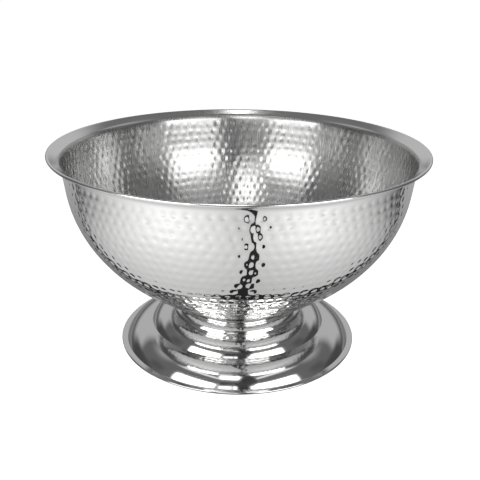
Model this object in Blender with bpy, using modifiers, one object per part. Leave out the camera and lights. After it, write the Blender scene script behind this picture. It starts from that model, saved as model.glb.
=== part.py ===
"""Punch bowl: a hammered sheet-steel bowl bolted to a spun three-tier pedestal foot.

Metres, +Z up. The origin is the centre of the foot's resting face, and +Z is the axis
that every turned piece shares. Each piece is one closed body in its own object.
"""
import math

import bmesh
import bpy
from mathutils import Vector

MM = 0.001

# Driving dimensions
RIM_RADIUS = 187.5 * MM
OVERALL_HEIGHT = 209.0 * MM
BOWL_SHEET = 1.2 * MM
FOOT_SHEET = 1.0 * MM
GAP = 0.3 * MM
TURNED_STEPS = 60
SMALL_STEPS = 32

# Bowl wall: a superellipse below JOIN_Z, then a straight wall that gains WALL_FLARE in radius
# for each unit of height, then the flange
WALL_RADIUS = 0.9217 * RIM_RADIUS
WALL_DEPTH = 0.8701 * RIM_RADIUS
WALL_CENTRE_Z = 1.0288 * RIM_RADIUS
WALL_FLARE = 0.12
DEPTH_POWER = 2.2
WIDTH_POWER = 1.52
JOIN_Z = 0.93 * RIM_RADIUS
SEAT_Z = 44.0 * MM
SEAT_FLAT_RADIUS = 50.0 * MM
SEAT_BEND_RADIUS = 62.0 * MM
FLANGE_SLOPE = 29.0
FLANGE_BEND_LENGTH = 4.0 * MM
BEAD_RADIUS = 1.5 * MM

# Joint between bowl and foot, from the bowl downwards
DISC_RADIUS = 34.0 * MM
DISC_THICKNESS = 1.1 * MM
GASKET_INNER_RADIUS = 37.0 * MM
GASKET_OUTER_RADIUS = 54.5 * MM
STUD_RADIUS = 4.0 * MM
STUD_LENGTH = 16.0 * MM
CLEARANCE_HOLE_RADIUS = 4.5 * MM
WASHER_RADIUS = 16.0 * MM
WASHER_THICKNESS = 1.6 * MM
LOCK_WASHER_RADIUS = 7.2 * MM
LOCK_WASHER_THICKNESS = 2.0 * MM
NUT_HEIGHT = 7.0 * MM
NUT_TOP_RADIUS = 8.0 * MM
NUT_BOTTOM_RADIUS = 6.2 * MM
NUT_BORE_RADIUS = 4.35 * MM
WING_RADIUS = 7.0 * MM
WING_THICKNESS = 2.6 * MM
WING_REACH = 12.4 * MM
WING_DROP = 4.2 * MM

# Foot: crease circles between the tiers as (radius, height), and the slope of each tier in
# degrees below horizontal where it starts and where it ends
FOOT_TOP_Z = SEAT_Z - 2 * GAP - DISC_THICKNESS
FOOT_TOP_RADIUS = 56.0 * MM
UPPER_CREASE = (70.3 * MM, 33.4 * MM)
LOWER_CREASE = (92.1 * MM, 18.9 * MM)
UPPER_TIER_SLOPES = (15.0, 70.0)
MIDDLE_TIER_SLOPES = (8.0, 60.0)
LOWER_TIER_SLOPES = (5.0, 58.0)
LIP_START_RADIUS = 120.0 * MM
FOOT_RADIUS = 126.0 * MM
HEM_WIDTH = 5.5 * MM

MODEL = bpy.data.collections.new("punch_bowl")
CUTTERS = bpy.data.collections.new("cutters")


# Plane geometry of the profiles: a point is (radius, height)

def arc(centre, radius, start, end, count):
    """Points along a circle, from start to end in degrees."""
    angles = [math.radians(start + (end - start) * i / count) for i in range(count + 1)]
    return [(centre[0] + radius * math.cos(a), centre[1] + radius * math.sin(a)) for a in angles]


def bend(start, corner, end, count):
    """A smooth bend that leaves start towards corner and arrives at end from corner."""
    points = []
    for i in range(count + 1):
        t = i / count
        weights = ((1 - t) ** 2, 2 * t * (1 - t), t ** 2)
        points.append(tuple(sum(w * p[k] for w, p in zip(weights, (start, corner, end))) for k in (0, 1)))
    return points


def crossing(p, p_rise, q, q_rise):
    """Where the line through p meets the line through q, given each line's rise per radius."""
    r = (q[1] - p[1] + p_rise * p[0] - q_rise * q[0]) / (p_rise - q_rise)
    return (r, p[1] + p_rise * (r - p[0]))


def towards(p, q, distance):
    """The point at a distance from p on the way to q."""
    way = (Vector(q) - Vector(p)).normalized()
    return tuple(Vector(p) + way * distance)


def inner_side(outer, thickness):
    """The other side of a sheet whose outer side runs downwards: outer, moved to its right."""
    points = []
    for i, p in enumerate(outer):
        before = (Vector(p) - Vector(outer[max(i - 1, 0)])).normalized()
        after = (Vector(outer[min(i + 1, len(outer) - 1)]) - Vector(p)).normalized()
        normals = [Vector((way.y, -way.x)) for way in (before, after) if way.length > 0]
        middle = sum(normals, Vector((0, 0))).normalized()
        points.append(tuple(Vector(p) - middle * (-thickness / middle.dot(normals[0]))))
    return points


# Objects and materials

def material(name, colour, roughness, metallic):
    made = bpy.data.materials.new(name)
    made.use_nodes = True
    shader = made.node_tree.nodes["Principled BSDF"]
    shader.inputs["Base Color"].default_value = (*colour, 1.0)
    shader.inputs["Roughness"].default_value = roughness
    shader.inputs["Metallic"].default_value = metallic
    made.diffuse_color = (*colour, 1.0)
    return made


def finish(obj, made, angle=35.0):
    """Give an object its material and smooth shading with sharp edges above an angle."""
    obj.data.materials.append(made)
    obj.data.shade_smooth()
    obj.data.set_sharp_from_angle(angle=math.radians(angle))


def turned(name, profile, made, steps, closed):
    """A turned piece: its profile, running down its outer side, swept once round Z."""
    shape = bmesh.new()
    verts = [shape.verts.new((r, 0.0, z)) for r, z in profile]
    for start, end in zip(verts, verts[1:]):
        shape.edges.new((start, end))
    if closed:
        shape.edges.new((verts[-1], verts[0]))
    mesh = bpy.data.meshes.new(name)
    shape.to_mesh(mesh)
    shape.free()
    obj = bpy.data.objects.new(name, mesh)
    MODEL.objects.link(obj)
    screw = obj.modifiers.new("turn", "SCREW")
    screw.angle = 2 * math.pi
    screw.steps = steps
    screw.render_steps = steps
    screw.use_merge_vertices = True
    screw.merge_threshold = 0.01 * MM
    screw.use_smooth_shade = True
    finish(obj, made)
    return obj


def ring_profile(inner, outer, bottom, top, chamfer):
    """A flat ring's section, with its outer edges chamfered."""
    return [(inner, top), (outer - chamfer, top), (outer, top - chamfer),
            (outer, bottom + chamfer), (outer - chamfer, bottom), (inner, bottom)]


def boolean(obj, other, operation):
    """Join other to obj or cut it away, keeping other as a hidden wire guide."""
    other.hide_render = True
    other.display_type = "WIRE"
    step = obj.modifiers.new(other.name, "BOOLEAN")
    step.operation = operation
    step.solver = "EXACT"
    step.object = other


# Bowl

def wall_point(angle):
    """A point of the curved wall: 0 degrees is its widest place, 90 its bottom on the axis."""
    r = WALL_RADIUS * math.cos(angle) ** (2 / WIDTH_POWER)
    z = WALL_CENTRE_Z - WALL_DEPTH * math.sin(angle) ** (2 / DEPTH_POWER)
    return (r, z)


def wall_points(count):
    """The curved wall's outer side, from the straight wall down to the bend of the seat."""
    first = math.asin(((WALL_CENTRE_Z - JOIN_Z) / WALL_DEPTH) ** (DEPTH_POWER / 2))
    last = math.acos((SEAT_BEND_RADIUS / WALL_RADIUS) ** (WIDTH_POWER / 2))
    return [wall_point(first + (last - first) * i / count) for i in range(count + 1)]


def bowl_outer_side():
    """The outer side of the sheet from the bead down to the axis, and the bead's centre."""
    rise = math.tan(math.radians(FLANGE_SLOPE))
    bead = (RIM_RADIUS - BEAD_RADIUS, OVERALL_HEIGHT - BEAD_RADIUS)
    lift = (BEAD_RADIUS - BOWL_SHEET) / math.cos(math.radians(FLANGE_SLOPE))
    flange = (bead[0], bead[1] + lift)
    wall = wall_points(12)
    corner = crossing(wall[0], 1 / WALL_FLARE, flange, rise)
    flange_bend = bend(towards(corner, flange, FLANGE_BEND_LENGTH), corner,
                       towards(corner, wall[0], FLANGE_BEND_LENGTH), 4)
    last_rise = (wall[-2][1] - wall[-1][1]) / (wall[-2][0] - wall[-1][0])
    seat_corner = crossing(wall[-1], last_rise, (0.0, SEAT_Z), 0.0)
    seat = bend(wall[-1], seat_corner, (SEAT_FLAT_RADIUS, SEAT_Z), 3)
    start = towards(flange, corner, BEAD_RADIUS)
    return [start] + flange_bend + wall + seat[1:] + [(0.0, SEAT_Z)], bead


def make_bowl(steel):
    outer, bead_centre = bowl_outer_side()
    inner = inner_side(outer, BOWL_SHEET)
    inner[-1] = (0.0, SEAT_Z + BOWL_SHEET)
    bead = arc(bead_centre, BEAD_RADIUS, 90 + FLANGE_SLOPE, FLANGE_SLOPE - 180, 9)
    profile = inner[::-1] + bead[:-1] + outer
    return turned("hammered_bowl", profile, steel, TURNED_STEPS, closed=False)


# Foot

def tier(start, end, slopes, count):
    """One rounded tier of the foot, from its upper edge out and down to the next crease."""
    rises = [-math.tan(math.radians(slope)) for slope in slopes]
    return bend(start, crossing(start, rises[0], end, rises[1]), end, count)


def make_foot(steel):
    lip_z = 2 * FOOT_SHEET
    lip = (LIP_START_RADIUS, lip_z)
    upper = tier((FOOT_TOP_RADIUS, FOOT_TOP_Z), UPPER_CREASE, UPPER_TIER_SLOPES, 5)
    middle = tier(UPPER_CREASE, LOWER_CREASE, MIDDLE_TIER_SLOPES, 6)
    lower = tier(LOWER_CREASE, lip, LOWER_TIER_SLOPES, 7)
    outer = [(CLEARANCE_HOLE_RADIUS, FOOT_TOP_Z)] + upper + middle[1:] + lower[1:]
    edge_radius = FOOT_RADIUS - FOOT_SHEET
    hem = arc((edge_radius, FOOT_SHEET), FOOT_SHEET, 90, -90, 6)
    fold_end = edge_radius - HEM_WIDTH
    fold = [(fold_end, 0.0), (fold_end, FOOT_SHEET)]
    inner = inner_side(outer + [(edge_radius, lip_z)], FOOT_SHEET)[:-1]
    inner = [p for p in inner if p[0] < fold_end - GAP]
    return turned("pedestal_foot", outer + hem + fold + inner[::-1], steel, TURNED_STEPS, closed=True)


# Fastening, from the bowl downwards

def make_disc(steel):
    top = SEAT_Z - GAP
    bottom = top - DISC_THICKNESS
    profile = [(0.0, top), (DISC_RADIUS - GAP, top), (DISC_RADIUS, top - GAP),
               (DISC_RADIUS, bottom + GAP), (DISC_RADIUS - GAP, bottom), (0.0, bottom)]
    turned("mounting_disc", profile, steel, SMALL_STEPS, closed=False)
    return bottom


def make_gasket(rubber):
    top = SEAT_Z - GAP
    profile = ring_profile(GASKET_INNER_RADIUS, GASKET_OUTER_RADIUS, top - DISC_THICKNESS, top, 0.2 * MM)
    turned("seat_gasket", profile, rubber, SMALL_STEPS, closed=True)


def make_stud(steel, top):
    """The screwed stud, with a chamfered end, welded to the underside of the disc."""
    bottom = top - STUD_LENGTH
    chamfer = 0.9 * MM
    profile = [(0.0, top), (STUD_RADIUS, top), (STUD_RADIUS, bottom + chamfer),
               (STUD_RADIUS - chamfer, bottom), (0.0, bottom)]
    turned("threaded_stud", profile, steel, SMALL_STEPS, closed=False)


def make_washer(zinc, top):
    bottom = top - WASHER_THICKNESS
    profile = ring_profile(CLEARANCE_HOLE_RADIUS, WASHER_RADIUS, bottom, top, GAP)
    turned("load_washer", profile, zinc, SMALL_STEPS, closed=True)
    return bottom


def make_lock_washer(zinc, top):
    """A spring washer pressed flat: a ring of square section with one slanting cut."""
    bottom = top - LOCK_WASHER_THICKNESS
    profile = ring_profile(CLEARANCE_HOLE_RADIUS, LOCK_WASHER_RADIUS, bottom, top, 0.2 * MM)
    washer = turned("lock_washer", profile, zinc, SMALL_STEPS, closed=True)
    shape = bmesh.new()
    bmesh.ops.create_cube(shape, size=1.0)
    bmesh.ops.scale(shape, vec=(6 * MM, 1.2 * MM, 6 * MM), verts=shape.verts)
    mesh = bpy.data.meshes.new("lock_washer_slot")
    shape.to_mesh(mesh)
    shape.free()
    slot = bpy.data.objects.new("lock_washer_slot", mesh)
    slot.location = (-LOCK_WASHER_RADIUS, 0.0, bottom + LOCK_WASHER_THICKNESS / 2)
    slot.rotation_euler = (math.radians(25), 0.0, 0.0)
    CUTTERS.objects.link(slot)
    boolean(washer, slot, "DIFFERENCE")
    return bottom


def make_wing(name, side, z, made):
    """One rounded thumb wing: a disc on edge, with softened rims."""
    shape = bmesh.new()
    bmesh.ops.create_cone(shape, cap_ends=True, segments=24, radius1=WING_RADIUS,
                          radius2=WING_RADIUS, depth=WING_THICKNESS)
    rims = [e for e in shape.edges if abs(e.verts[0].co.z - e.verts[1].co.z) < 0.1 * MM]
    bmesh.ops.bevel(shape, geom=rims, offset=0.5 * MM, segments=1, affect="EDGES")
    mesh = bpy.data.meshes.new(name)
    shape.to_mesh(mesh)
    shape.free()
    wing = bpy.data.objects.new(name, mesh)
    wing.location = (side * WING_REACH, 0.0, z)
    wing.rotation_euler = (math.radians(90), 0.0, 0.0)
    CUTTERS.objects.link(wing)
    wing.data.materials.append(made)
    return wing


def make_wing_nut(zinc, top):
    bottom = top - NUT_HEIGHT
    profile = [(NUT_BORE_RADIUS, top), (NUT_TOP_RADIUS, top), (NUT_TOP_RADIUS, top - 2 * MM),
               (NUT_BOTTOM_RADIUS, bottom + 0.8 * MM), (NUT_BOTTOM_RADIUS - 0.8 * MM, bottom),
               (NUT_BORE_RADIUS, bottom)]
    nut = turned("wing_nut", profile, zinc, SMALL_STEPS, closed=True)
    centre = (top + bottom) / 2 - WING_DROP
    for name, side in (("wing_right", 1), ("wing_left", -1)):
        boolean(nut, make_wing(name, side, centre, zinc), "UNION")


def main():
    for obj in list(bpy.data.objects):
        bpy.data.objects.remove(obj)
    for collection in (MODEL, CUTTERS):
        bpy.context.scene.collection.children.link(collection)
    hammered = material("hammered_steel", (0.78, 0.78, 0.78), 0.14, 1.0)
    polished = material("polished_steel", (0.80, 0.80, 0.80), 0.07, 1.0)
    welded = material("plain_steel", (0.55, 0.55, 0.56), 0.35, 1.0)
    zinc = material("zinc_plated", (0.62, 0.64, 0.67), 0.32, 1.0)
    rubber = material("black_rubber", (0.03, 0.03, 0.03), 0.75, 0.0)
    make_bowl(hammered)
    make_foot(polished)
    disc_bottom = make_disc(welded)
    make_gasket(rubber)
    make_stud(zinc, disc_bottom - GAP)
    washer_bottom = make_washer(zinc, FOOT_TOP_Z - FOOT_SHEET - GAP)
    lock_bottom = make_lock_washer(zinc, washer_bottom - GAP)
    make_wing_nut(zinc, lock_bottom - GAP)


main()
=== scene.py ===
# %% [markdown]
# # A hammered punch bowl on a spun foot
#
# This lesson builds the looks of a steel punch bowl around its fixed CAD frame. The real
# object is two spun sheets: a deep bowl, hammered all over, and a three-tier foot. One
# stud with washers and a wing nut holds them together from below. Polished steel shows
# nothing but what stands around it, so the light matters as much as the shape.

import math
import random

import bpy
import numpy as np
from mathutils import Matrix, Vector


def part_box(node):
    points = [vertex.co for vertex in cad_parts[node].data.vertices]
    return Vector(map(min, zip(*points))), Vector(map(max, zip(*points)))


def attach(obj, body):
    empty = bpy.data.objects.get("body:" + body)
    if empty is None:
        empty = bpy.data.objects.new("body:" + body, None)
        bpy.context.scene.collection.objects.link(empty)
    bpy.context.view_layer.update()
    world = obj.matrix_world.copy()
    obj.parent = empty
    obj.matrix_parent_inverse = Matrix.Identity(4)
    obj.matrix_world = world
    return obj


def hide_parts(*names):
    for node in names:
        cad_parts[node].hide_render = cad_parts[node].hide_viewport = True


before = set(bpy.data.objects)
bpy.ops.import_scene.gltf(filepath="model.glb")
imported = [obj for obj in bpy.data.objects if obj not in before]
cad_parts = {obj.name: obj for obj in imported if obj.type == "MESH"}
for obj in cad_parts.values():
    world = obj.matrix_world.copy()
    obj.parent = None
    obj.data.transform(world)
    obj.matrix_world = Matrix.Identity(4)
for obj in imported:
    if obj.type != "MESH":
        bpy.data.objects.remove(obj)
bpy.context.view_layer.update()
MM = 0.001
TAU = 2 * math.pi

# %% [markdown]
# The camera comes first, so that every later step can be looked at from the same place.
# It stands a little above the rim, about two bowl widths away, and looks down into the
# bowl. Its tiny roll is what a hand-set tripod leaves.

# %% The camera
CAMERA_PLACE = (0.0, -0.6705, 0.3724)
CAMERA_PITCH = 21.61
CAMERA_YAW = 0.15
CAMERA_ROLL = 0.65
CAMERA_LENS = 51.39


def add_camera():
    data = bpy.data.cameras.new("camera")
    data.lens = CAMERA_LENS
    data.sensor_width = 36.0
    data.clip_start = 0.01
    data.clip_end = 60.0
    camera = bpy.data.objects.new("camera", data)
    bpy.context.scene.collection.objects.link(camera)
    turn = Matrix.Rotation(math.radians(-CAMERA_YAW), 4, "Z")
    tilt = Matrix.Rotation(math.radians(90 - CAMERA_PITCH), 4, "X")
    roll = Matrix.Rotation(math.radians(CAMERA_ROLL), 4, "Z")
    camera.matrix_world = Matrix.Translation(CAMERA_PLACE) @ turn @ tilt @ roll
    bpy.context.scene.camera = camera


add_camera()

# %% [markdown]
# Most pieces here are turned: the workshop presses or spins a disc of sheet over a round
# former. The same thing in Blender is a lathe. One vertex is extruded along the half
# section, and the finished line is spun once round the upright axis. Drawing the section
# from a few arcs keeps every radius a number that can be read and changed.

# %% A lathe made of extrude and spin
MERGE_ON_LINE = 0.0005 * MM
MERGE_ON_SEAM = 0.002 * MM
SMOOTH_BELOW = math.radians(40)


def deselect_all():
    bpy.ops.object.select_all(action="DESELECT")


def lathe(name, section, steps, closed=False):
    """Spin a half section, a list of (radius, height), once round Z."""
    deselect_all()
    bpy.ops.mesh.primitive_plane_add(size=MM)
    piece = bpy.context.object
    piece.name = name
    bpy.ops.object.mode_set(mode="EDIT")
    bpy.ops.mesh.merge(type="CENTER")
    bpy.ops.transform.translate(value=(section[0][0], 0, section[0][1]))
    line = section + section[:1] if closed else section
    for here, there in zip(line, line[1:]):
        step = (there[0] - here[0], 0, there[1] - here[1])
        bpy.ops.mesh.extrude_vertices_move(TRANSFORM_OT_translate={"value": step})
    bpy.ops.mesh.select_all(action="SELECT")
    bpy.ops.mesh.remove_doubles(threshold=MERGE_ON_LINE)
    bpy.ops.mesh.spin(steps=steps, angle=TAU, center=(0, 0, 0), axis=(0, 0, 1))
    bpy.ops.mesh.select_all(action="SELECT")
    bpy.ops.mesh.remove_doubles(threshold=MERGE_ON_SEAM)
    bpy.ops.mesh.normals_make_consistent(inside=False)
    bpy.ops.object.mode_set(mode="OBJECT")
    bpy.ops.object.shade_smooth_by_angle(angle=SMOOTH_BELOW)
    return piece


def arc(centre, radius, start, end, count):
    """Points along a circle in the section plane, from start to end in degrees."""
    angles = np.radians(np.linspace(start, end, count + 1))
    return [(centre[0] + radius * math.cos(a), centre[1] + radius * math.sin(a)) for a in angles]


def bend(start, corner, end, count):
    """A smooth bend that leaves start towards corner and arrives at end from corner."""
    t = np.linspace(0, 1, count + 1)[:, None]
    curve = (1 - t) ** 2 * start + 2 * t * (1 - t) * corner + t ** 2 * end
    return [tuple(p) for p in curve]


def crossing(p, p_rise, q, q_rise):
    """Where two lines meet, each given by a point and its rise per radius."""
    r = (q[1] - p[1] + p_rise * p[0] - q_rise * q[0]) / (p_rise - q_rise)
    return np.array((r, p[1] + p_rise * (r - p[0])))


def towards(p, q, distance):
    """The point that far from p on the way to q."""
    way = np.subtract(q, p)
    return np.array(p) + way / np.hypot(*way) * distance


def run_along(line):
    """How far each point lies along a line from its first point."""
    return np.concatenate([[0], np.cumsum(np.hypot(*np.diff(line, axis=0).T))])


def inner_side(outer, thickness):
    """The other side of a sheet whose outer side runs downwards."""
    line = np.array(outer)
    way = np.diff(line, axis=0)
    way /= np.hypot(way[:, 0], way[:, 1])[:, None]
    normals = np.stack([way[:, 1], -way[:, 0]], axis=1)
    before = np.vstack([normals[:1], normals])
    after = np.vstack([normals, normals[-1:]])
    middle = before + after
    middle /= np.hypot(middle[:, 0], middle[:, 1])[:, None]
    reach = thickness / np.sum(middle * before, axis=1)
    return [tuple(p) for p in line + middle * reach[:, None]]


# %% [markdown]
# The bowl's section is that of its CAD node: a superellipse for the deep curve, a straight
# wall that flares slightly, a bend, and a flange that ends in a rolled bead. The long
# curve is cut into even steps, because the hammer marks need a regular grid to sit on:
# four rows of faces for each row of marks.

# %% The bowl's half section
box_low, box_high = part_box("hammered_bowl")
RIM_RADIUS = box_high.x
BOWL_TOP = box_high.z
SEAT_Z = box_low.z
SHEET = 1.2 * MM
WALL_RADIUS = 0.9217 * RIM_RADIUS
WALL_DEPTH = 0.8701 * RIM_RADIUS
WALL_CENTRE_Z = 1.0288 * RIM_RADIUS
WALL_FLARE = 0.12
DEPTH_POWER = 2.2
WIDTH_POWER = 1.52
JOIN_Z = 0.93 * RIM_RADIUS
SEAT_BEND_RADIUS = 62 * MM
SEAT_FLAT_RADIUS = 50 * MM
FLANGE_RISE = math.tan(math.radians(29))
FLANGE_BEND = 4 * MM
BEAD_RADIUS = 1.5 * MM
BEND_STEPS = 6
SEAT_STEPS = 3
BEAD_STEPS = 10
CURVE_SAMPLES = 800
MARKS_ROUND = 110
COLUMNS = 4 * MARKS_ROUND
MARK_ROW = 8.6 * MM
ROW_STEP = MARK_ROW / 4


def deep_curve():
    """The superellipse part of the wall, finely sampled from its top to the seat's bend."""
    first = math.asin(((WALL_CENTRE_Z - JOIN_Z) / WALL_DEPTH) ** (DEPTH_POWER / 2))
    last = math.acos((SEAT_BEND_RADIUS / WALL_RADIUS) ** (WIDTH_POWER / 2))
    angle = np.linspace(first, last, CURVE_SAMPLES)
    r = WALL_RADIUS * np.cos(angle) ** (2 / WIDTH_POWER)
    z = WALL_CENTRE_Z - WALL_DEPTH * np.sin(angle) ** (2 / DEPTH_POWER)
    return np.stack([r, z], axis=1)


def even_steps(line, step):
    """The same line with points at equal distances, about a step apart."""
    run = run_along(line)
    places = np.linspace(0, run[-1], round(run[-1] / step) + 1)
    return np.stack([np.interp(places, run, line[:, k]) for k in (0, 1)], axis=1)


def bowl_outer_side():
    """The outside from rim to middle, the bead's centre, and the part that is hammered."""
    bead = np.array((RIM_RADIUS - BEAD_RADIUS, BOWL_TOP - BEAD_RADIUS))
    lift = (BEAD_RADIUS - SHEET) / math.cos(math.atan(FLANGE_RISE))
    flange = bead + (0, lift)
    curve = deep_curve()
    corner = crossing(curve[0], 1 / WALL_FLARE, flange, FLANGE_RISE)
    bend_end = towards(corner, curve[0], FLANGE_BEND)
    flange_bend = bend(towards(corner, flange, FLANGE_BEND), corner, bend_end, BEND_STEPS)
    wall = even_steps(np.vstack([bend_end, curve]), ROW_STEP)
    rise = (curve[-2][1] - curve[-1][1]) / (curve[-2][0] - curve[-1][0])
    seat_corner = crossing(curve[-1], rise, (0, SEAT_Z), 0.0)
    seat = bend(curve[-1], seat_corner, np.array((SEAT_FLAT_RADIUS, SEAT_Z)), SEAT_STEPS)
    rest = [(r, SEAT_Z) for r in (38 * MM, 20 * MM, 0.0)]
    start = towards(flange, corner, BEAD_RADIUS)
    outer = [tuple(start)] + flange_bend + [tuple(p) for p in wall[1:]] + seat[1:] + rest
    return outer, bead, wall


outer_side, bead_centre, wall_line = bowl_outer_side()
inner_line = inner_side(outer_side, SHEET)
inner_line[-1] = (0.0, SEAT_Z + SHEET)
flange_angle = math.degrees(math.atan(FLANGE_RISE))
bead_line = arc(bead_centre, BEAD_RADIUS, 90 + flange_angle, flange_angle - 180,
                BEAD_STEPS)
bowl_section = inner_line[::-1] + bead_line[:-1] + outer_side
print("bowl section:", len(bowl_section), "points, wall rows:", len(wall_line) - 1)

# %% [markdown]
# On the real bowl a disc of sheet is pressed over a round former while both turn. Here the
# closed section of the sheet is turned once, with four faces for each mark round the bowl.

# %% Turn the bowl
bowl = lathe("hammered_bowl_sheet", bowl_section, COLUMNS)
print("bowl faces:", len(bowl.data.polygons))

# %% [markdown]
# Each hammer blow leaves a shallow round dent outside and a matching bump inside. They run
# in rings, nearly under each other, and no two are quite alike. The pattern is first
# painted as a weight on the vertices, as one would paint it by hand, and a Displace
# modifier then pushes the sheet inwards by that weight. One modifier works on the outside
# and one on the inside, so that the sheet keeps its thickness. Towards the bottom the
# blows are lighter, because the hammer has less room there.

# %% Paint the hammer marks
MARK_DEPTH = 0.26 * MM
MARK_SPREAD = 1.9 * MM
MARK_PITCH = 9.4 * MM
MARK_REACH = 3.4 * MARK_SPREAD
FIRST_ROW = 4.5 * MM
FULL_ROWS_RADIUS = 142 * MM  # above this every ring has the same number of blows
PLAIN_END = 2 * MM
RING_TURN = (0.3, 0.6)  # each ring starts this part of a pitch past the one above
STRAY = 0.9  # millimetres that a blow may land off its place
BLOW_RANGE = (0.6, 1.25)
LIGHT_RADIUS, LIGHT_FORCE = 70 * MM, 0.5
FULL_RADIUS, FULL_FORCE = 130 * MM, 1.0
TOP_WEIGHT = 1.3
LEAST_WEIGHT = 0.01
WALL_MARGIN = 1 * MM

wall_run = run_along(wall_line)
wall_below = wall_line[::-1]
run_below = wall_run[::-1]


def place_on_wall(points):
    """How far each point lies down the wall from the flange's bend, and its angle."""
    run = np.interp(points[:, 2], wall_below[:, 1], run_below)
    return run, np.arctan2(points[:, 1], points[:, 0])


def blow_rings(seed=7):
    """Every ring of blows: its run down the wall, then each blow's angle, run and force."""
    pick = random.Random(seed)
    rings = []
    run = FIRST_ROW
    start = 0.0
    while run < wall_run[-1] - PLAIN_END:
        radius = np.interp(run, wall_run, wall_line[:, 0])
        count = MARKS_ROUND if radius > FULL_ROWS_RADIUS else round(TAU * radius / MARK_PITCH)
        start += pick.uniform(*RING_TURN)
        slack = STRAY * MM / radius
        angles = [TAU * (i + start) / count + pick.uniform(-slack, slack) for i in range(count)]
        runs = [run + pick.uniform(-STRAY, STRAY) * MM for i in range(count)]
        force = np.interp(radius, (LIGHT_RADIUS, FULL_RADIUS), (LIGHT_FORCE, FULL_FORCE))
        forces = [force * pick.uniform(*BLOW_RANGE) for i in range(count)]
        rings.append((run, np.array(angles), np.array(runs), np.array(forces)))
        run += MARK_ROW
    return rings


def nearest_blow(angle, angles):
    """Which blow of a ring lies nearest to each angle."""
    return np.rint((angle - angles[0]) / TAU * len(angles)).astype(int) % len(angles)


def mark_weights(points, rings):
    """The depth of the hammering at each point, from 0 to about 1."""
    run, angle = place_on_wall(points)
    radius = np.hypot(points[:, 0], points[:, 1])
    weight = np.zeros(len(points))
    for ring_run, angles, runs, forces in rings:
        near = np.nonzero(abs(run - ring_run) < MARK_REACH)[0]
        count = len(angles)
        guess = nearest_blow(angle[near], angles)
        for side in (-1, 0, 1):
            blow = (guess + side) % count
            turn = (angle[near] - angles[blow] + math.pi) % TAU - math.pi
            gap = np.hypot(turn * radius[near], run[near] - runs[blow])
            weight[near] += forces[blow] * np.exp(-0.5 * (gap / MARK_SPREAD) ** 2)
    return weight


def read_all(rows, attribute, width, kind=float):
    """An attribute of every vertex or face, as an array with one row for each."""
    values = np.empty(len(rows) * width, dtype=kind)
    rows.foreach_get(attribute, values)
    return values.reshape(-1, width)


def strike(piece, rings):
    """Weight the vertices of both sides of the wall, and push them in."""
    co = read_all(piece.data.vertices, "co", 3)
    weight = np.clip(mark_weights(co, rings), 0, TOP_WEIGHT) / TOP_WEIGHT
    radius = np.hypot(co[:, 0], co[:, 1])
    middle = np.interp(co[:, 2], wall_below[:, 1], wall_below[:, 0]) - SHEET / 2
    on_wall = ((co[:, 2] < wall_line[0][1] + WALL_MARGIN)
               & (co[:, 2] > wall_line[-1][1] - WALL_MARGIN))
    outside = on_wall & (radius > middle)
    inside = on_wall & (radius <= middle) & (radius > SEAT_BEND_RADIUS - PLAIN_END)
    for name, chosen, way in (("dents_outside", outside, -1), ("bumps_inside", inside, 1)):
        group = piece.vertex_groups.new(name=name)
        for i in np.nonzero(chosen & (weight > LEAST_WEIGHT))[0]:
            group.add([int(i)], float(weight[i]), "REPLACE")
        push = piece.modifiers.new(name, "DISPLACE")
        push.vertex_group = name
        push.mid_level = 0.0
        push.strength = way * MARK_DEPTH * TOP_WEIGHT
        bpy.ops.object.modifier_apply(modifier=name)


blows = blow_rings()
print("blows:", sum(len(ring[1]) for ring in blows), "in", len(blows), "rings")
deselect_all()
bowl.select_set(True)
bpy.context.view_layer.objects.active = bowl
strike(bowl, blows)

# %% [markdown]
# Four faces across a mark give it depth but not a crisp edge. So each face also remembers
# where it lies from the centre of its own mark, and how hard that blow was, in an
# attribute that the finish can read. The steel's material sharpens the mark with it.

# %% Tell each face where its mark is
def remember_marks(piece, rings):
    """Store (across, down, force) at each face corner, from its face's own mark."""
    faces = len(piece.data.polygons)
    run, angle = place_on_wall(read_all(piece.data.polygons, "center", 3))
    ring_of = np.clip(np.rint((run - FIRST_ROW) / MARK_ROW).astype(int), 0, len(rings) - 1)
    centre_run, centre_angle, blow_force = np.zeros((3, faces))
    for k, (_, angles, runs, forces) in enumerate(rings):
        chosen = np.nonzero(ring_of == k)[0]
        blow = nearest_blow(angle[chosen], angles)
        centre_run[chosen] = runs[blow]
        centre_angle[chosen] = angles[blow]
        blow_force[chosen] = forces[blow]
    blow_force[(run <= 0) | (run >= wall_run[-1] - PLAIN_END)] = 0
    sizes = read_all(piece.data.polygons, "loop_total", 1, np.int32).ravel()
    corners = read_all(piece.data.loops, "vertex_index", 1, np.int32).ravel()
    face_of = np.repeat(np.arange(faces), sizes)
    point = read_all(piece.data.vertices, "co", 3)[corners]
    run, angle = place_on_wall(point)
    turn = (angle - centre_angle[face_of] + math.pi) % TAU - math.pi
    across = turn * np.hypot(point[:, 0], point[:, 1]) / MARK_SPREAD
    down = (run - centre_run[face_of]) / MARK_SPREAD
    place = np.stack([across, down, blow_force[face_of]], axis=1)
    mark = piece.data.attributes.new("mark_place", "FLOAT_VECTOR", "CORNER")
    mark.data.foreach_set("vector", place.ravel())
    print("corners that remember a hammer mark:", int(np.count_nonzero(place[:, 2])))


remember_marks(bowl, blows)

# %% [markdown]
# The foot is a second spinning: three rounded tiers with a sharp crease between them, and
# a flat lip whose edge is folded under for strength. The fold makes a flat ring, and that
# is what the bowl stands on. Each tier is one smooth bend between two slopes.

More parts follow.
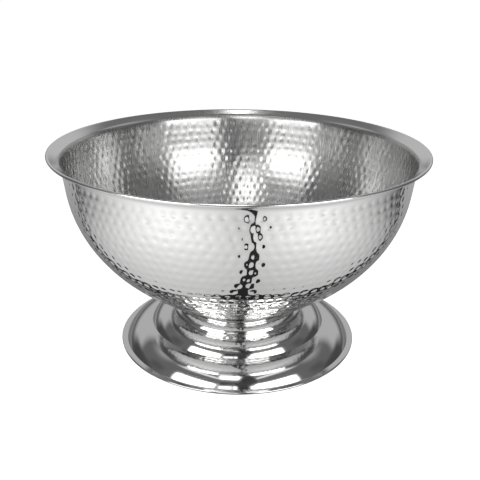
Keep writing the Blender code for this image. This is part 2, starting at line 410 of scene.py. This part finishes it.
# %% Turn the foot
foot_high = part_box("pedestal_foot")[1]
FOOT_RADIUS = foot_high.x
FOOT_TOP_Z = foot_high.z
FOOT_SHEET = 1.0 * MM
HOLE_RADIUS = 4.5 * MM
FOOT_TOP_RADIUS = 56.0 * MM
UPPER_CREASE = np.array((70.3, 33.4)) * MM
LOWER_CREASE = np.array((92.1, 18.9)) * MM
LIP_START = np.array((120.0, 2.0)) * MM
TIER_SLOPES = ((15.0, 70.0), (8.0, 60.0), (5.0, 58.0))
TIER_STEPS = (14, 18, 20)
TOP_RINGS = (HOLE_RADIUS, 20 * MM, 40 * MM, FOOT_TOP_RADIUS)
FOLD_CLEARANCE = 0.6 * MM
HEM_WIDTH = 5.5 * MM
FOOT_STEPS = 256


def tier(start, end, slopes, count):
    """One rounded tier, from its upper edge out and down to the next crease."""
    rises = [-math.tan(math.radians(slope)) for slope in slopes]
    return bend(start, crossing(start, rises[0], end, rises[1]), end, count)


def foot_section():
    """The whole section of the foot's sheet: outside, hem, fold and inside."""
    outer = [(r, FOOT_TOP_Z) for r in TOP_RINGS]
    ends = (np.array(outer[-1]), UPPER_CREASE, LOWER_CREASE, LIP_START)
    for start, end, slopes, count in zip(ends, ends[1:], TIER_SLOPES, TIER_STEPS):
        outer += tier(start, end, slopes, count)[1:]
    edge = FOOT_RADIUS - FOOT_SHEET
    inner = inner_side(outer + [(edge, 2 * FOOT_SHEET)], FOOT_SHEET)[:-1]
    fold_end = edge - HEM_WIDTH
    hem = arc((edge, FOOT_SHEET), FOOT_SHEET, 90, -90, 10)
    fold = arc((fold_end, FOOT_SHEET / 2), FOOT_SHEET / 2, -90, -270, 6)
    inner = [p for p in inner if p[0] < fold_end - FOLD_CLEARANCE]
    return outer + hem + fold + inner[::-1]


foot = lathe("pedestal_foot_spinning", foot_section(), FOOT_STEPS, closed=True)
print("foot faces:", len(foot.data.polygons))

# %% [markdown]
# Between bowl and foot lie a rubber ring and a thin steel disc. The disc carries the stud.
# Both are flat blanks cut from sheet, so each is a turned section with rounded edges.

# %% Gasket, disc and flat washer
def rounded_plate(name, node, hole, edge, steps):
    """A flat ring or disc that fills its CAD node's box, with its outer edge rounded."""
    low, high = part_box(node)
    outer = high.x
    top_edge = arc((outer - edge, high.z - edge), edge, 90, 0, 4)
    low_edge = arc((outer - edge, low.z + edge), edge, 0, -90, 4)
    section = [(hole, high.z)] + top_edge + low_edge + [(hole, low.z)]
    return lathe(name, section, steps, closed=hole > 0)


gasket = rounded_plate("seat_gasket_ring", "seat_gasket", 37 * MM, 0.5 * MM, 160)
disc = rounded_plate("mounting_disc_plate", "mounting_disc", 0.0, 0.3 * MM, 96)
washer = rounded_plate("load_washer_plate", "load_washer", HOLE_RADIUS, 0.4 * MM, 72)
for plate in (gasket, disc, washer):
    print(plate.name, "faces:", len(plate.data.polygons))

# %% [markdown]
# The spring washer is one turn of square wire with a slanting cut, so its section is
# filled first and then spun not quite all the way round. Its two ends are then moved a
# little apart in height, which is what makes it bite.

# %% Spring lock washer
LOCK_TURN = 352.0
LOCK_RISE = 0.35 * MM
LOCK_START = 4.0
LOCK_CHAMFER = 0.2 * MM


def make_lock_washer():
    low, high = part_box("lock_washer")
    deselect_all()
    size = high.z - low.z - LOCK_RISE
    width = high.x - HOLE_RADIUS
    centre = ((high.x + HOLE_RADIUS) / 2, 0, (low.z + high.z) / 2)
    bpy.ops.mesh.primitive_plane_add(size=1, location=centre, rotation=(math.pi / 2, 0, 0))
    piece = bpy.context.object
    piece.name = "lock_washer_spring"
    piece.scale = (width, size, 1)
    bpy.ops.object.transform_apply()
    bpy.ops.object.mode_set(mode="EDIT")
    bpy.ops.mesh.select_all(action="SELECT")
    bpy.ops.mesh.bevel(offset=LOCK_CHAMFER, segments=2, affect="VERTICES")
    bpy.ops.transform.rotate(value=math.radians(LOCK_START), orient_axis="Z",
                             center_override=(0, 0, 0))
    bpy.ops.mesh.spin(steps=72, angle=math.radians(LOCK_TURN), center=(0, 0, 0), axis=(0, 0, 1))
    bpy.ops.mesh.select_all(action="SELECT")
    bpy.ops.mesh.remove_doubles(threshold=0.001 * MM)
    bpy.ops.mesh.normals_make_consistent(inside=False)
    bpy.ops.object.mode_set(mode="OBJECT")
    for vert in piece.data.vertices:
        turn = math.atan2(vert.co.y, vert.co.x) % TAU
        vert.co.z += LOCK_RISE * (turn / TAU - 0.5)
    bpy.ops.object.shade_smooth_by_angle(angle=SMOOTH_BELOW)
    return piece


lock_washer = make_lock_washer()
print("lock washer faces:", len(lock_washer.data.polygons))

# %% [markdown]
# A rolled screw thread is a ridge that climbs one pitch for each turn. The stud starts as
# a turned rod with many rings, and each ring's vertices are then drawn in or left out by
# where they stand along the pitch at their own angle, so that the ridge runs as a helix.

# %% Threaded stud
PITCH = 1.25 * MM
THREAD_DEPTH = 0.62 * MM
THREAD_START = 1.5 * MM
STUD_CHAMFER = 0.9 * MM
ROOT_WIDTH = 1.9  # with the rise below, the share of a pitch that is groove
FLANK_RISE = 4.4


def make_stud():
    low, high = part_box("threaded_stud")
    radius = high.x
    rings = np.arange(high.z, low.z + STUD_CHAMFER, -PITCH / 8)
    section = [(0.0, high.z)] + [(radius, z) for z in rings]
    section += [(radius, low.z + STUD_CHAMFER), (radius - STUD_CHAMFER, low.z), (0.0, low.z)]
    piece = lathe("threaded_stud_m8", section, 48)
    for vert in piece.data.vertices:
        out = math.hypot(vert.co.x, vert.co.y)
        if out > 0.9 * radius and vert.co.z < high.z - THREAD_START:
            turn = (vert.co.z / PITCH + math.atan2(vert.co.y, vert.co.x) / TAU) % 1.0
            groove = min(1.0, max(0.0, ROOT_WIDTH - abs(turn - 0.5) * FLANK_RISE))
            depth = THREAD_DEPTH * groove
            vert.co.xy *= (out - depth) / out
    return piece


stud = make_stud()
print("stud faces:", len(stud.data.polygons))

# %% [markdown]
# The wing nut is a small casting: a conical hub with a bore and two thumb wings. The hub is
# turned, the wings start as cylinders on edge with bevelled rims, and the three are joined
# by Boolean unions. A fine voxel remesh and some smoothing then round every inside corner,
# as the sand or die of a casting does.

# %% Wing nut
NUT_BORE = 4.35 * MM
NUT_HUB_TOP = 8.0 * MM
NUT_HUB_BOTTOM = 6.2 * MM
NUT_HEIGHT = 7.0 * MM
NUT_GAP = 0.3 * MM
HUB_RIM = 2 * MM
HUB_CHAMFER = 0.8 * MM
WING_RADIUS = 7.0 * MM
WING_REACH = 12.4 * MM
WING_THICKNESS = 2.6 * MM
WING_BEVEL = 0.7 * MM
CAST_VOXEL = 0.32 * MM


def add_wing(side, height):
    """One thumb wing: a short cylinder on edge with bevelled rims."""
    deselect_all()
    bpy.ops.mesh.primitive_cylinder_add(vertices=40, radius=WING_RADIUS, depth=WING_THICKNESS,
                                        location=(side * WING_REACH, 0, height),
                                        rotation=(math.pi / 2, 0, 0))
    wing = bpy.context.object
    bpy.ops.object.transform_apply()
    bpy.ops.object.mode_set(mode="EDIT")
    bpy.ops.mesh.select_all(action="SELECT")
    bpy.ops.mesh.bevel(offset=WING_BEVEL, segments=3, affect="EDGES", clamp_overlap=True)
    bpy.ops.object.mode_set(mode="OBJECT")
    return wing


def make_wing_nut():
    low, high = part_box("wing_nut")
    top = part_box("lock_washer")[0].z - NUT_GAP
    bottom = top - NUT_HEIGHT
    section = [(NUT_BORE, top), (NUT_HUB_TOP, top), (NUT_HUB_TOP, top - HUB_RIM),
               (NUT_HUB_BOTTOM, bottom + HUB_CHAMFER),
               (NUT_HUB_BOTTOM - HUB_CHAMFER, bottom), (NUT_BORE, bottom)]
    nut = lathe("wing_nut_casting", section, 48, closed=True)
    for side in (1, -1):
        wing = add_wing(side, low.z + WING_RADIUS)
        deselect_all()
        nut.select_set(True)
        bpy.context.view_layer.objects.active = nut
        union = nut.modifiers.new("union", "BOOLEAN")
        union.operation = "UNION"
        union.object = wing
        bpy.ops.object.modifier_apply(modifier="union")
        bpy.data.objects.remove(wing)
    remesh = nut.modifiers.new("remesh", "REMESH")
    remesh.mode = "VOXEL"
    remesh.voxel_size = CAST_VOXEL
    bpy.ops.object.modifier_apply(modifier="remesh")
    soften = nut.modifiers.new("soften", "SMOOTH")
    soften.factor = 0.5
    soften.iterations = 6
    bpy.ops.object.modifier_apply(modifier="soften")
    bpy.ops.object.shade_smooth()
    return nut


wing_nut = make_wing_nut()
print("wing nut faces:", len(wing_nut.data.polygons))

# %% [markdown]
# Each piece now rides on the one CAD body and stands for its CAD node, which is hidden.
# Nothing on this bowl moves in use, so the body is root.

# %% Tie each piece to the frame
for piece, node_name, finish_slot in (
        (bowl, "hammered_bowl", "hammered_steel"),
        (foot, "pedestal_foot", "polished_steel"),
        (gasket, "seat_gasket", "black_rubber"),
        (disc, "mounting_disc", "plain_steel"),
        (washer, "load_washer", "zinc_plated"),
        (lock_washer, "lock_washer", "zinc_plated"),
        (stud, "threaded_stud", "zinc_plated"),
        (wing_nut, "wing_nut", "zinc_plated")):
    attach(piece, "root")
    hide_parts(node_name)

# %% [markdown]
# Polished steel has no colour of its own to paint. Its finish is in how sharply it mirrors,
# so most of the work here goes into roughness and into marks too shallow to model. A small
# helper adds a node and fills its inputs, and keeps the finishes below easy to read.

# %% Helpers for finishes
BELL_FOOT = 0.04  # cut off the mark's bell curve, so that its skirt ends


def new_finish(name, colour, metallic, roughness):
    """A material with one Principled shader, set to an even finish."""
    material = bpy.data.materials.new(name)
    material.use_nodes = True
    shader = material.node_tree.nodes["Principled BSDF"]
    shader.inputs["Base Color"].default_value = (*colour, 1)
    shader.inputs["Metallic"].default_value = metallic
    shader.inputs["Roughness"].default_value = roughness
    return material, shader


def add_node(material, kind, inputs=(), **settings):
    """Adds a shader node. An input is a value, or the output socket it is joined to."""
    node = material.node_tree.nodes.new("ShaderNode" + kind)
    for key, value in settings.items():
        setattr(node, key, value)
    for key, value in dict(inputs).items():
        if isinstance(value, bpy.types.NodeSocket):
            material.node_tree.links.new(value, node.inputs[key])
        else:
            node.inputs[key].default_value = value
    return node


def object_place(material):
    return add_node(material, "TexCoord").outputs["Object"]


def maths(material, operation, *values):
    """One sum on numbers or sockets, by Blender's own name for it."""
    return add_node(material, "Math", dict(enumerate(values)), operation=operation).outputs[0]


def noise(material, place, scale, detail=2.0):
    return add_node(material, "TexNoise", {"Vector": place, "Scale": scale,
                                           "Detail": detail}).outputs["Fac"]


def spread(material, value, low, high, from_low=0.3, from_high=0.7):
    """Maps a noise to the range a shader input needs."""
    return add_node(material, "MapRange", {"Value": value, "From Min": from_low,
                                           "From Max": from_high, "To Min": low,
                                           "To Max": high}).outputs["Result"]


def vary(material, shader, socket, value):
    material.node_tree.links.new(value, shader.inputs[socket])


def relief(material, shader, height, depth):
    """Shades the surface as if it stood up by height times depth, in metres."""
    bump = add_node(material, "Bump", {"Height": height, "Distance": depth, "Strength": 1.0})
    vary(material, shader, "Normal", bump.outputs["Normal"])


def rubbed_round(material, shader, amount):
    """Draws the gloss out across fine scratches that run round the axis."""
    shader.inputs["Anisotropic"].default_value = amount
    shader.inputs["Anisotropic Rotation"].default_value = 0.25
    axis = add_node(material, "Tangent", direction_type="RADIAL", axis="Z")
    vary(material, shader, "Tangent", axis.outputs[0])


def hammer_mark(material):
    """The height of the nearest hammer mark, from 0 at its edge to about 1 in its middle."""
    place = add_node(material, "Attribute", attribute_name="mark_place").outputs["Vector"]
    across, down, force = add_node(material, "SeparateXYZ", {0: place}).outputs
    square = maths(material, "ADD", maths(material, "MULTIPLY", across, across),
                   maths(material, "MULTIPLY", down, down))
    bell = maths(material, "EXPONENT", maths(material, "MULTIPLY", square, -0.5))
    cut = maths(material, "MAXIMUM", maths(material, "SUBTRACT", bell, BELL_FOOT), 0.0)
    return maths(material, "MULTIPLY", cut, force)


def turned_place(material, along_radius, along_height, along_turn):
    """A place that is the same all round the axis, so a noise on it draws rings.

    The small along_turn part lets each ring fade in and out on its way round."""
    place = add_node(material, "SeparateXYZ", {0: object_place(material)}).outputs
    square = maths(material, "ADD", maths(material, "MULTIPLY", place[0], place[0]),
                   maths(material, "MULTIPLY", place[1], place[1]))
    radius = maths(material, "SQRT", square)
    angle = maths(material, "ARCTAN2", place[1], place[0])
    lap = maths(material, "COSINE", angle)
    return add_node(material, "CombineXYZ",
                    {0: maths(material, "MULTIPLY", radius, along_radius),
                     1: maths(material, "MULTIPLY", place[2], along_height),
                     2: maths(material, "MULTIPLY", lap, along_turn)}).outputs[0]


def upright_place(material, round_axis, along_height):
    """A place that hardly changes up the wall, so a noise on it draws upright strokes."""
    place = add_node(material, "SeparateXYZ", {0: object_place(material)}).outputs
    flat = add_node(material, "CombineXYZ", {0: place[0], 1: place[1]}).outputs[0]
    outward = add_node(material, "VectorMath", {0: flat}, operation="NORMALIZE").outputs[0]
    ring = add_node(material, "VectorMath", {0: outward, "Scale": round_axis},
                    operation="SCALE").outputs[0]
    rise = add_node(material, "CombineXYZ",
                    {2: maths(material, "MULTIPLY", place[2], along_height)}).outputs[0]
    return add_node(material, "VectorMath", {0: ring, 1: rise}, operation="ADD").outputs[0]

# %% [markdown]
# The outside of the bowl is buffed to a mirror after hammering. The wheel leaves a faint
# haze in places and a slight ripple in the sheet. A noise in the roughness gives the haze,
# and the relief holds the ripple and the sharp middle of each dent.

# %% Outside of the bowl: buffed steel
MARK_RELIEF = 0.22 * MM
INSIDE_RELIEF = 0.6 * MARK_RELIEF


def buffed_steel():
    material, shader = new_finish("buffed_hammered_steel", (0.86, 0.86, 0.855), 1.0, 0.05)
    place = object_place(material)
    haze = noise(material, place, 45.0, 3.0)
    vary(material, shader, "Roughness", spread(material, haze, 0.035, 0.075))
    ripple = maths(material, "MULTIPLY", noise(material, place, 160.0, 2.0), 0.06)
    dent = maths(material, "MULTIPLY", hammer_mark(material), -1.0)
    relief(material, shader, maths(material, "ADD", dent, ripple), MARK_RELIEF)
    return material

# %% [markdown]
# The inside is left satin. It was rubbed with a fine abrasive as it turned, so the scratches
# run round the bowl, and each light is drawn out up and down the wall. That is what
# anisotropy does: the tangent says which way the gloss is drawn out. The streaks themselves
# are a noise squeezed hard round the axis and stretched up the wall. Satin steel sends back
# only about half of the light, so corners that mirror each other twice turn dark. Rubbing
# has also worn the bumps down, and their relief is lower than outside.

# %% Inside of the bowl: satin steel with upright streaks
def satin_steel():
    material, shader = new_finish("satin_hammered_steel", (0.55, 0.55, 0.546), 1.0, 0.27)
    rubbed_round(material, shader, 0.85)
    strokes = noise(material, upright_place(material, 150.0, 9.0), 1.0, 4.0)
    patches = noise(material, object_place(material), 22.0, 2.0)
    both = maths(material, "MULTIPLY", strokes, patches)
    vary(material, shader, "Roughness", spread(material, both, 0.22, 0.34, 0.14, 0.36))
    bump = maths(material, "ADD", hammer_mark(material),
                 maths(material, "MULTIPLY", strokes, 0.04))
    relief(material, shader, bump, INSIDE_RELIEF)
    return material

# %% [markdown]
# The flange and its bead were never hammered. They were finished on the lathe, so their
# fine lines run round the bowl. A noise that only changes with radius and height draws them.

# %% Rim: lathe-finished steel
def ringed_steel():
    material, shader = new_finish("ringed_rim_steel", (0.88, 0.88, 0.88), 1.0, 0.15)
    rings = noise(material, turned_place(material, 5200.0, 5200.0, 1.2), 1.0, 3.0)
    vary(material, shader, "Roughness", spread(material, rings, 0.12, 0.20))
    relief(material, shader, rings, 0.006 * MM)
    return material

# %% [markdown]
# The foot is spun and then polished as it turns. It is almost as bright as the bowl, and
# what gives it away as turned work is a set of faint rings in the polish. They draw each
# light out a little down the tiers.

# %% Foot: polished on the lathe
def spun_steel():
    material, shader = new_finish("polished_spun_steel", (0.78, 0.78, 0.778), 1.0, 0.09)
    rubbed_round(material, shader, 0.7)
    rings = noise(material, turned_place(material, 2600.0, 2600.0, 0.8), 1.0, 3.0)
    haze = noise(material, object_place(material), 30.0, 2.0)
    both = maths(material, "ADD", maths(material, "MULTIPLY", rings, 0.5),
                 maths(material, "MULTIPLY", haze, 0.5))
    vary(material, shader, "Roughness", spread(material, both, 0.06, 0.12, 0.35, 0.65))
    relief(material, shader, rings, 0.0025 * MM)
    return material

# %% [markdown]
# The hidden pieces are plainer. The disc is cut from cold-rolled sheet and keeps its rolling
# lines. The fasteners are zinc plated, which is a soft grey with small bluish grains. The
# ring is moulded rubber, dull and finely pitted.

# %% Disc, fasteners and rubber ring
def rolled_steel():
    material, shader = new_finish("rolled_plain_steel", (0.62, 0.62, 0.61), 1.0, 0.32)
    lines = add_node(material, "Mapping", {"Vector": object_place(material),
                                           "Scale": (20.0, 2400.0, 20.0)}).outputs[0]
    rolling = noise(material, lines, 1.0, 3.0)
    vary(material, shader, "Roughness", spread(material, rolling, 0.26, 0.42))
    relief(material, shader, rolling, 0.01 * MM)
    return material


def zinc_plate():
    material, shader = new_finish("zinc_plate", (0.66, 0.68, 0.70), 1.0, 0.34)
    grains = add_node(material, "TexVoronoi", {"Vector": object_place(material),
                                               "Scale": 900.0})
    tint = add_node(material, "MixRGB", {0: grains.outputs["Distance"],
                                         1: (0.70, 0.72, 0.74, 1),
                                         2: (0.56, 0.58, 0.61, 1)}).outputs[0]
    vary(material, shader, "Base Color", tint)
    dull = noise(material, object_place(material), 260.0, 3.0)
    vary(material, shader, "Roughness", spread(material, dull, 0.26, 0.44))
    relief(material, shader, dull, 0.04 * MM)
    return material


def moulded_rubber():
    material, shader = new_finish("moulded_black_rubber", (0.022, 0.022, 0.023), 0.0, 0.62)
    pits = noise(material, object_place(material), 1400.0, 3.0)
    shade = spread(material, noise(material, object_place(material), 120.0), 0.016, 0.030)
    tint = add_node(material, "CombineColor", {0: shade, 1: shade, 2: shade}).outputs[0]
    vary(material, shader, "Base Color", tint)
    vary(material, shader, "Roughness", spread(material, pits, 0.52, 0.72))
    relief(material, shader, pits, 0.06 * MM)
    return material

# %% [markdown]
# The bowl takes three finishes on one sheet. Which one a face gets depends on its side of
# the wall: the flange and bead are ringed, faces that look at the middle are satin, and all
# the others are buffed.

# %% Put the finishes on
def give_finish(piece, *materials):
    """Gives a piece these finishes and no other."""
    piece.data.materials.clear()
    for material in materials:
        piece.data.materials.append(material)


BUFFED, SATIN, RINGED = range(3)
RIM_START = wall_line[0][0] + 1 * MM

give_finish(bowl, buffed_steel(), satin_steel(), ringed_steel())
counts = [0, 0, 0]
bowl_middle = Vector((0, 0, BOWL_TOP))
for face in bowl.data.polygons:
    if math.hypot(face.center.x, face.center.y) > RIM_START:
        kind = RINGED
    elif face.normal.dot(bowl_middle - face.center) > 0:
        kind = SATIN
    else:
        kind = BUFFED
    face.material_index = kind
    counts[kind] += 1
print("bowl faces buffed, satin, ringed:", counts)
give_finish(foot, spun_steel())
give_finish(disc, rolled_steel())
give_finish(gasket, moulded_rubber())
zinc = zinc_plate()
for fastener in (washer, lock_washer, stud, wing_nut):
    give_finish(fastener, zinc)

# %% [markdown]
# Polished steel shows its room. Here the room is a table of three boards, two soft boxes,
# a strip light, and grey and black cards. Every one is a flat card that glows: evenly,
# with soft edges, or in a painted pool of light and painted shadow of the bowl. They are
# seen in reflections only, so nothing but the bowl stands on the pale floor. A real studio
# does the same with white boards, black cloth and diffusers.

# %% Cards of light
def glowing(name):
    """An empty material for a card."""
    material = bpy.data.materials.new(name)
    material.use_nodes = True
    material.node_tree.nodes.clear()
    return material


def glow(name, strength, centre=None, reach=1.0, edge_strength=None):
    """A board's material: even, or graded from a centre out over its reach, for a painted pool
    of light or a painted shadow.
    """
    material = glowing(name)
    light = add_node(material, "Emission", {"Strength": strength})
    if centre is not None:
        place = add_node(material, "Mapping", {"Vector": object_place(material),
                                               "Location": [-c / reach for c in centre],
                                               "Scale": [1 / reach] * 3}).outputs[0]
        ball = add_node(material, "TexGradient", {"Vector": place},
                        gradient_type="SPHERICAL").outputs["Fac"]
        vary(material, light, "Strength",
             spread(material, ball, edge_strength, strength, 0.0, 1.0))
    add_node(material, "OutputMaterial", {"Surface": light.outputs[0]})
    return material


def soft_glow(name, strength, soft):
    """A hung card's material: even light that fades to nothing towards the edges.

    The card is one unit wide and tall in its own coordinates, and soft is the part of
    that over which it fades."""
    material = glowing(name)
    place = add_node(material, "SeparateXYZ", {0: object_place(material)}).outputs
    fades = []
    for axis in (0, 1):
        inside = maths(material, "SUBTRACT", 0.5, maths(material, "ABSOLUTE", place[axis]))
        fade = add_node(material, "MapRange", {"Value": inside, "From Min": 0.0,
                                               "From Max": soft, "To Min": 0.0,
                                               "To Max": 1.0})
        fade.interpolation_type = "SMOOTHSTEP"
        fades.append(fade.outputs["Result"])
    light = add_node(material, "Emission", {"Strength": strength}).outputs[0]
    clear = add_node(material, "BsdfTransparent").outputs[0]
    mix = add_node(material, "MixShader", {0: maths(material, "MULTIPLY", *fades),
                                           1: clear, 2: light}).outputs[0]
    add_node(material, "OutputMaterial", {"Surface": mix})
    return material


def only_reflected(card, lights_room=False):
    """Hides a card from the camera, and from the floor unless it is to light the room."""
    card.visible_camera = False
    card.visible_diffuse = lights_room
    card.visible_shadow = False


def board(name, outline, material, height):
    """A flat board on the table, drawn as a polygon."""
    mesh = bpy.data.meshes.new(name)
    mesh.from_pydata([(x, y, height) for x, y in outline], [], [range(len(outline))])
    card = bpy.data.objects.new(name, mesh)
    bpy.context.scene.collection.objects.link(card)
    mesh.materials.append(material)
    only_reflected(card)


AIM = Vector((0, 0, 0.12))


def sky_place(azimuth, elevation, distance):
    """A point round the bowl. Azimuth 0 is the camera's side and 90 is +X."""
    az, el = math.radians(azimuth), math.radians(elevation)
    return Vector((math.cos(el) * math.sin(az), -math.cos(el) * math.cos(az),
                   math.sin(el))) * distance + AIM


def hang_card(name, azimuth, elevation, wide, tall, strength, soft, distance, lights=False):
    """A card that hangs at that place and faces the bowl, its sizes given in degrees."""
    deselect_all()
    place = sky_place(azimuth, elevation, distance)
    turn = (place - AIM).to_track_quat("Z", "Y").to_euler()
    bpy.ops.mesh.primitive_plane_add(size=1, location=place, rotation=turn)
    card = bpy.context.object
    card.name = name
    card.scale = (2 * distance * math.tan(math.radians(wide / 2)),
                  2 * distance * math.tan(math.radians(tall / 2)), 1)
    card.data.materials.append(soft_glow(name, strength, soft))
    only_reflected(card, lights)

# %% [markdown]
# The boards first. Two white ones meet in front of the bowl and a grey one lies behind it.
# They don't quite touch, and the dark gaps draw the thin black lines that make polished
# steel look like polished steel.

# %% Boards on the table
# Close in front of the foot the boards stop short of each other. A narrow wedge of the black
# card under them shows there, a painted contact shadow round the foot's lip.
LEFT_GAP = ((-0.113, -0.067), (-0.26, 0.047), (-0.38, 0.107), (-0.467, 0.153), (-0.80, 0.33))
RIGHT_GAP = ((0.100, -0.087), (0.207, -0.013), (0.313, 0.087), (0.433, 0.153), (0.80, 0.34))
FRONT_GAP = ((0.005, -0.150), (0.033, -0.26), (0.047, -0.35), (0.06, -0.43), (0.062, -0.50),
             (0.07, -0.85))
HALF_GAP = 0.015 / 2
HALF_FRONT_GAP = 0.023 / 2
UNDER_HEIGHT = -0.3 * MM
BOARD_HEIGHT = -0.2 * MM


def shifted(line, dx, dy):
    """The same line, moved on the table."""
    return [(x + dx, y + dy) for x, y in line]


# The black card under the boards shows in the gaps between them. In front of the foot it is a
# painted contact shadow.
board("table_black", [(-1, -1), (1, -1), (1, 1), (-1, 1)], glow("table_black", 0.02),
      UNDER_HEIGHT)
# The white boards glow in painted pools of light out in front to each side. They are dimmer
# close to the bowl, and that is a painted shadow of the bowl.
board("table_left", shifted(FRONT_GAP, -HALF_FRONT_GAP, 0) + [(-0.85, -0.85), (-0.85, 0.30)]
      + shifted(LEFT_GAP[::-1], -HALF_GAP, -HALF_GAP),
      glow("white_left_painted_pool", 1.22, (-0.30, -0.40, 0), 0.62, 0.14), BOARD_HEIGHT)
board("table_right", shifted(FRONT_GAP, HALF_FRONT_GAP, 0) + [(0.85, -0.85), (0.85, 0.30)]
      + shifted(RIGHT_GAP[::-1], HALF_GAP, -HALF_GAP),
      glow("white_right_painted_pool", 1.15, (0.30, -0.40, 0), 0.62, 0.08), BOARD_HEIGHT)
# The grey rear board glows least at the bowl and more further out. That is a painted shadow of
# the bowl on it.
board("table_rear", [(0.0, -0.12)] + shifted(LEFT_GAP, HALF_GAP, HALF_GAP)
      + [(-0.80, 0.85), (0.80, 0.85)] + shifted(RIGHT_GAP[::-1], -HALF_GAP, HALF_GAP),
      glow("grey_rear_painted_shadow", 0.15, (0, 0, 0), 0.7, 0.42), BOARD_HEIGHT)

# %% [markdown]
# The lights and flags hang round the bowl. Two big soft boxes, left and right of the
# viewer, make the two broad patches inside the bowl and the bands on the foot. Black cards
# between them draw the dark stripe, and a strip light close above the front makes the
# narrow bright one. Behind the bowl hangs a grey card that the flange and the lip mirror,
# with a small glint in it. The last five hang twice, once on each side: they darken the
# far sides of the bowl and lighten the horizon. Only the soft boxes and the strip also
# light the floor.

# %% Lights and flags
LIGHT_THE_FLOOR = ("soft_box_left", "soft_box_right", "strip_light")
CARDS = (
    # name, azimuth, elevation, wide, tall, strength, soft part, distance
    ("soft_box_left", -43, 22.5, 43, 28, 4.2, 0.15, 1.15),
    ("soft_box_right", 38, 22.5, 48, 28, 4.2, 0.15, 1.15),
    ("strip_light", -9, 58, 20, 34, 3.4, 0.2, 0.62),
    ("thin_strip", -1, 33, 5, 16, 2.0, 0.1, 2.0),
    ("black_flag", 6, 19, 13, 28, 0.04, 0.2, 1.0),
    ("black_flag_high", 13, 48, 17, 34, 0.04, 0.2, 1.0),
    ("top_light", -20, 80, 40, 16, 0.7, 0.3, 2.0),
    ("rear_haze", 180, 24, 130, 44, 0.5, 0.3, 2.0),
    ("rear_glint", 180, 66.6, 3, 9, 4.0, 0.3, 2.0),
    ("rear_dark", 174.5, 65, 3.5, 9, 0.05, 0.3, 2.0),
    ("front_dark", 0, 42, 66, 24, 0.14, 0.3, 2.2),
    ("middle_dark", 0, 24.5, 36, 13, 0.05, 0.12, 0.49),
    ("middle_haze", -11, 24, 16, 26, 2.0, 0.3, 0.8))
CARDS_ON_BOTH_SIDES = (
    ("upper_box", 53, 57, 50, 6, 1.1, 0.3, 2.0),
    ("side_dark", 88, 22, 26, 24, 0.1, 0.4, 2.0),
    ("side_haze", 125, 50, 50, 34, 0.48, 0.5, 2.0),
    ("side_flag", 108, 6, 60, 28, 0.07, 0.35, 2.0),
    ("horizon", 47, -1, 90, 13, 0.6, 0.2, 1.8))

for name, azimuth, *rest in CARDS:
    hang_card(name, azimuth, *rest, lights=name in LIGHT_THE_FLOOR)
for side in (-1, 1):
    for name, azimuth, *rest in CARDS_ON_BOTH_SIDES:
        hang_card(name, side * azimuth, *rest)
print("cards hung:", len(CARDS) + 2 * len(CARDS_ON_BOTH_SIDES))

# %% [markdown]
# The rest of the room is an even grey that the steel sees and the camera doesn't: the
# camera sees a white backdrop. The floor is pale and lit enough to meet it without an edge,
# with only the bowl's soft shadow on it.

# %% Room and floor
BACKDROP_WHITE = 1.05
ROOM_GREY = 0.145
FLOOR_GLOW = 0.88
FLOOR_HEIGHT = -0.4 * MM
WHITE = (1, 1, 1, 1)


def add_room():
    world = bpy.data.worlds.new("studio")
    bpy.context.scene.world = world
    world.use_nodes = True
    world.node_tree.nodes.clear()
    seen = add_node(world, "LightPath").outputs["Is Camera Ray"]
    white, grey = (
        add_node(world, "Background", {"Color": WHITE, "Strength": strength}).outputs[0]
        for strength in (BACKDROP_WHITE, ROOM_GREY))
    mix = add_node(world, "MixShader", {0: seen, 1: grey, 2: white}).outputs[0]
    add_node(world, "OutputWorld", {"Surface": mix})


def add_floor():
    deselect_all()
    bpy.ops.mesh.primitive_plane_add(size=60, location=(0, 0, FLOOR_HEIGHT))
    floor = bpy.context.object
    floor.name = "floor"
    material, shader = new_finish("pale_floor", (0.92, 0.92, 0.92), 0.0, 0.9)
    shader.inputs["Emission Color"].default_value = WHITE
    shader.inputs["Emission Strength"].default_value = FLOOR_GLOW
    floor.data.materials.append(material)
    floor.visible_glossy = False


add_room()
add_floor()
bpy.context.scene.view_settings.view_transform = "Standard"
